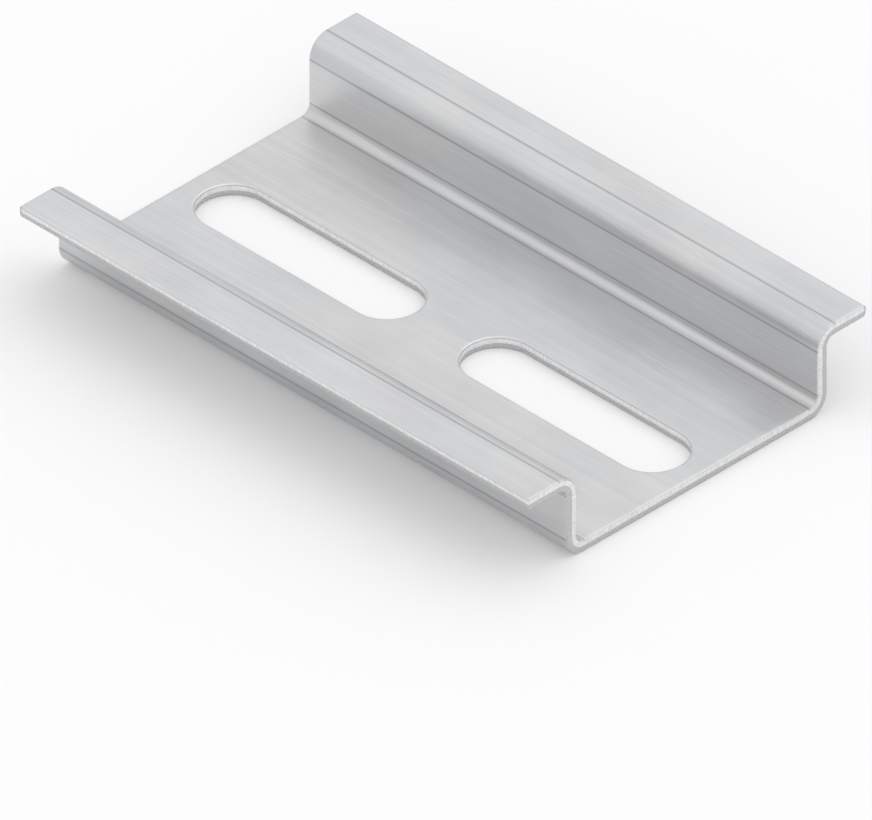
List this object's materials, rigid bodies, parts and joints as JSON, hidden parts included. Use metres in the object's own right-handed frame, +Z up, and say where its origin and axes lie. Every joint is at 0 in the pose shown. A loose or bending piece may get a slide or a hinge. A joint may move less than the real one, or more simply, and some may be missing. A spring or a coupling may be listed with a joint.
{
  "type": "din rail",
  "caption": "Short slotted top-hat mounting rail of zinc-plated sheet steel, for clipping on wiring terminals and switchgear.",
  "frame": {"origin": "on the back face that lies on the mounting plate, at the middle of the length and of the width", "axes": "+X along the rail, +Y across it from flange to flange, +Z up from the back face towards the flanges"},
  "size_m": [0.0528, 0.035, 0.0075],
  "materials": {
    "zinc_plated_steel": "satin, zinc-plated and clear-passivated, with fine rolling lines along the rail"
  },
  "bodies": {
    "root": {"din_rail": "zinc_plated_steel"}
  },
  "joints": []
}
